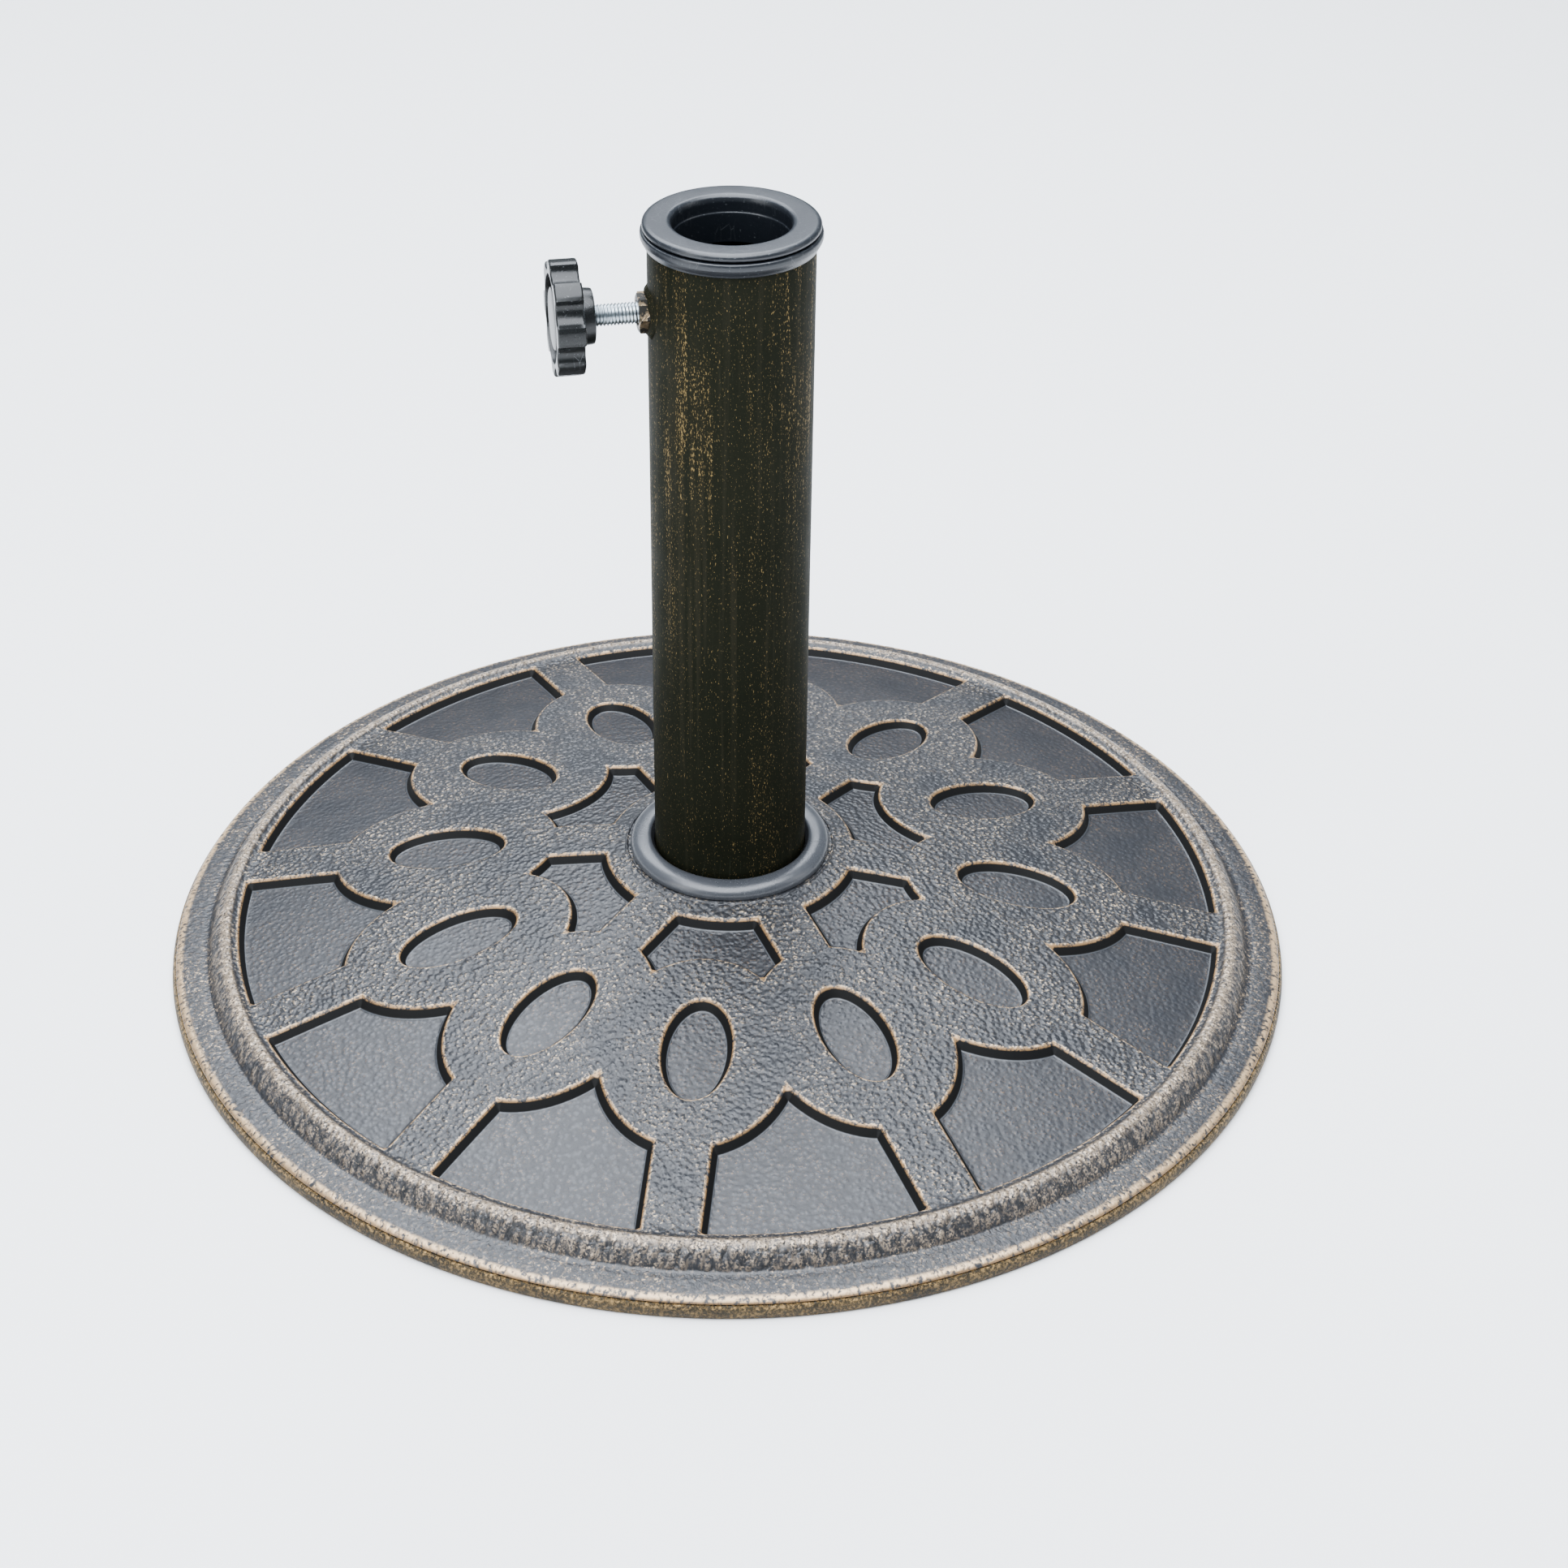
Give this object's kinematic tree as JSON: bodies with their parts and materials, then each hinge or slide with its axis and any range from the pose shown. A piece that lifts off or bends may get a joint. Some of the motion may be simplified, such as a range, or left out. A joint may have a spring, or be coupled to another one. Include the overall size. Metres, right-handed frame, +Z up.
{
  "type": "parasol base",
  "caption": "Round weighted parasol base with a raised petal relief in a bronzed dark grey finish, an upright steel tube, a lift-out pole reducer and a star-knob screw clamp.",
  "frame": {"origin": "on the ground, on the upright tube's centre line", "axes": "+Z up along the tube; the clamp screw points along -X; +Y completes the right-handed frame"},
  "size_m": [0.45, 0.45, 0.31],
  "materials": {
    "shell_skin": "leather-grained dark grey, dry-brushed with bronze on its edges",
    "pan_skin": "speckled olive bronze",
    "cement": "raw cast cement",
    "painted_steel": "semi-gloss olive black with vertical gold speckle",
    "satin_plastic": "satin blue-grey black",
    "knob_plastic": "satin black",
    "bright_zinc": "bright zinc plate",
    "bronzed_zinc": "zinc plate with worn dark paint"
  },
  "bodies": {
    "stand": {"base_shell": "shell_skin", "ballast_fill": "cement", "base_pan": "pan_skin", "pan_screw_1": "bright_zinc", "pan_screw_2": "bright_zinc", "pan_screw_3": "bright_zinc", "pan_screw_4": "bright_zinc", "pan_screw_5": "bright_zinc", "pan_screw_6": "bright_zinc", "hub_collar": "satin_plastic", "stand_tube": "painted_steel", "tube_end_plate": "painted_steel", "end_plate_nut": "bright_zinc", "anchor_bolt": "bright_zinc", "anchor_spring_washer": "bright_zinc", "anchor_washer": "bright_zinc", "tube_end_ring": "satin_plastic", "clamp_nut": "bronzed_zinc", "clamp_nut_weld": "painted_steel"},
    "reducer": {"pole_reducer": "satin_plastic"},
    "clamp_carrier": {"knob_cap": "knob_plastic"},
    "clamp_knob": {"star_knob": "knob_plastic", "clamp_screw": "bright_zinc"}
  },
  "joints": [
    {"name": "clamp_advance", "type": "slide", "parent": "stand", "child": "clamp_carrier", "axis": [1, 0, 0], "range_m": [-0.006, 0.015]},
    {"name": "knob_turn", "type": "hinge", "parent": "clamp_carrier", "child": "clamp_knob", "pos_m": [-0.0578, 0, 0.277], "axis": [1, 0, 0], "range_deg": [-1725, 4315]},
    {"name": "reducer_lift", "type": "slide", "parent": "stand", "child": "reducer", "axis": [0, 0, 1], "range_m": [0, 0.02]}
  ],
  "couplings": [
    {"joint": "clamp_advance", "follows": "knob_turn", "m_per_rad": 0.00019894}
  ]
}
